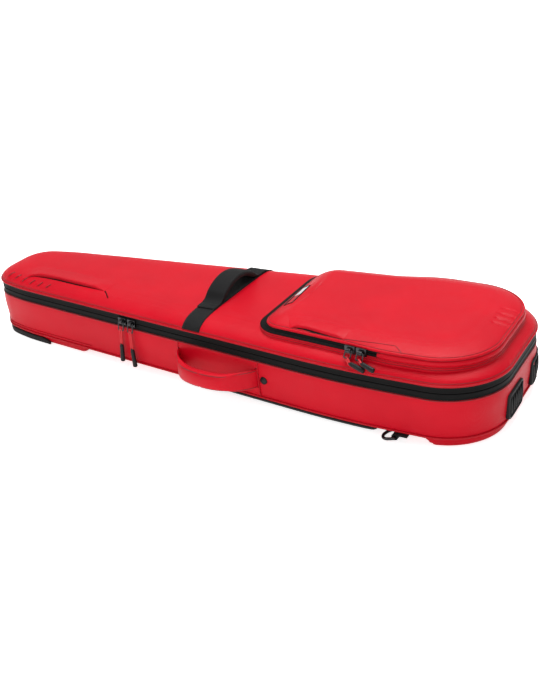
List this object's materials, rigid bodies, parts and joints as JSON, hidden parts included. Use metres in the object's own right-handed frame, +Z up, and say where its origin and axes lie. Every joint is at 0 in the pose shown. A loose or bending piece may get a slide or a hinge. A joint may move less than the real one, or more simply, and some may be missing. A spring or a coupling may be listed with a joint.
{
  "type": "violin case",
  "caption": "Dart-shaped padded violin case: zipped lid on a fabric hinge, outer pocket, carrying handles, zip pulls, back pads and rubber feet.",
  "frame": {"origin": "on the flat underside of the back pad, below the middle of the body's length and width", "axes": "+X towards the wide end, +Z up, the carrying handle and zip sliders face -Y"},
  "size_m": [0.8307, 0.2965, 0.1261],
  "materials": {
    "red_fabric": "coated woven nylon, low sheen",
    "red_piping": "smooth coated piping",
    "plush_lining": "short plush",
    "black_webbing": "woven webbing",
    "zip_tape": "coated water-resistant tape",
    "air_mesh": "spacer mesh",
    "black_rubber": "moulded rubber",
    "black_plastic": "moulded plastic",
    "gunmetal": "dark plated zinc",
    "red_cord": "braided cord",
    "silver_plate": "satin blank plate"
  },
  "bodies": {
    "base": {"base_shell": "red_fabric", "cradle_floor": "plush_lining", "violin_cradle": "plush_lining", "neck_rest": "plush_lining", "neck_straps": "black_webbing", "accessory_box": "black_plastic", "lower_zip_tape": "zip_tape", "base_piping": "red_piping", "narrow_foot_pad": "red_fabric", "narrow_bumper": "black_rubber", "back_pad": "air_mesh", "wide_foot_pad": "red_fabric", "wide_end_foot_near": "black_rubber", "wide_end_foot_far": "black_rubber", "strap_tab_near": "black_webbing", "strap_tab_far": "black_webbing", "handle_panel": "red_fabric", "handle_anchors": "red_fabric", "snap_stud": "black_plastic", "hinge_strip": "black_webbing"},
    "lid": {"lid_shell": "red_fabric", "lid_lining": "plush_lining", "upper_zip_tape": "zip_tape", "lid_piping": "red_piping", "lid_strap": "black_webbing", "strap_patches": "black_webbing", "grab_handle": "black_webbing", "bow_tip_pockets": "plush_lining", "pocket_gusset": "red_fabric", "pocket_lower_tape": "zip_tape", "pocket_rear": "red_fabric"},
    "side_handle": {"side_handle": "red_fabric"},
    "d_ring_near": {"d_ring_near": "gunmetal"},
    "d_ring_far": {"d_ring_far": "gunmetal"},
    "bow_spinner_1": {"bow_spinner_1": "black_plastic"},
    "bow_spinner_2": {"bow_spinner_2": "black_plastic"},
    "pocket_flap": {"pocket_flap": "red_fabric", "pocket_upper_tape": "zip_tape", "label_frame": "black_plastic", "label_plate": "silver_plate"},
    "main_slider_1": {"main_slider_1": "gunmetal"},
    "main_pull_1": {"main_bail_1": "gunmetal", "main_cord_1": "red_cord", "main_grip_1": "black_plastic"},
    "main_slider_2": {"main_slider_2": "gunmetal"},
    "main_pull_2": {"main_bail_2": "gunmetal", "main_cord_2": "red_cord", "main_grip_2": "black_plastic"},
    "pocket_slider_1": {"pocket_slider_1": "gunmetal"},
    "pocket_pull_1": {"pocket_bail_1": "gunmetal", "pocket_cord_1": "red_cord", "pocket_grip_1": "black_plastic"},
    "pocket_slider_2": {"pocket_slider_2": "gunmetal"},
    "pocket_pull_2": {"pocket_bail_2": "gunmetal", "pocket_cord_2": "red_cord", "pocket_grip_2": "black_plastic"}
  },
  "joints": [
    {"name": "lid_hinge", "type": "hinge", "parent": "base", "child": "lid", "pos_m": [-0.05982, 0.1034, 0.076], "axis": [-0.9942, -0.1075, 0], "range_deg": [0, 100]},
    {"name": "side_handle_swing", "type": "hinge", "parent": "base", "child": "side_handle", "pos_m": [0.02758, -0.11828, 0.043], "axis": [-0.9942, 0.1075, 0], "range_deg": [-40, 60]},
    {"name": "d_ring_near_swing", "type": "hinge", "parent": "base", "child": "d_ring_near", "pos_m": [0.292, -0.126, 0.008], "axis": [0, 1, 0], "range_deg": [-140, 15]},
    {"name": "d_ring_far_swing", "type": "hinge", "parent": "base", "child": "d_ring_far", "pos_m": [0.292, 0.126, 0.008], "axis": [0, 1, 0], "range_deg": [-140, 15]},
    {"name": "main_slider_1_slide", "type": "slide", "parent": "base", "child": "main_slider_1", "axis": [0.9942, -0.1075, 0], "range_m": [-0.17, 0]},
    {"name": "main_pull_1_swing", "type": "hinge", "parent": "main_slider_1", "child": "main_pull_1", "pos_m": [-0.13663, -0.09741, 0.076], "axis": [-0.9942, 0.1075, 0], "range_deg": [0, 120]},
    {"name": "main_slider_2_slide", "type": "slide", "parent": "base", "child": "main_slider_2", "axis": [0.9942, -0.1075, 0], "range_m": [0, 0.06]},
    {"name": "main_pull_2_swing", "type": "hinge", "parent": "main_slider_2", "child": "main_pull_2", "pos_m": [-0.11972, -0.09924, 0.076], "axis": [-0.9942, 0.1075, 0], "range_deg": [0, 120]},
    {"name": "pocket_flap_hinge", "type": "hinge", "parent": "lid", "child": "pocket_flap", "pos_m": [0.262, 0, 0.1215], "axis": [0, 1, 0], "range_deg": [0, 80]},
    {"name": "pocket_slider_1_slide", "type": "slide", "parent": "lid", "child": "pocket_slider_1", "axis": [0.9965, -0.083, 0], "range_m": [-0.1, 0]},
    {"name": "pocket_pull_1_swing", "type": "hinge", "parent": "pocket_slider_1", "child": "pocket_pull_1", "pos_m": [0.22659, -0.11998, 0.1076], "axis": [-0.9965, 0.083, 0], "range_deg": [0, 90]},
    {"name": "pocket_slider_2_slide", "type": "slide", "parent": "lid", "child": "pocket_slider_2", "axis": [0.9965, -0.083, 0], "range_m": [0, 0.01]},
    {"name": "pocket_pull_2_swing", "type": "hinge", "parent": "pocket_slider_2", "child": "pocket_pull_2", "pos_m": [0.24253, -0.12131, 0.1076], "axis": [-0.9965, 0.083, 0], "range_deg": [0, 90]},
    {"name": "bow_spinner_1_turn", "type": "hinge", "parent": "lid", "child": "bow_spinner_1", "pos_m": [0.3, -0.03, 0.09], "axis": [0, 0, 1], "range_deg": [-90, 90]},
    {"name": "bow_spinner_2_turn", "type": "hinge", "parent": "lid", "child": "bow_spinner_2", "pos_m": [0.3, 0.03, 0.09], "axis": [0, 0, 1], "range_deg": [-90, 90]}
  ],
  "couplings": [
    {"joint": "pocket_pull_1_swing", "follows": "pocket_pull_2_swing", "ratio": 1}
  ]
}
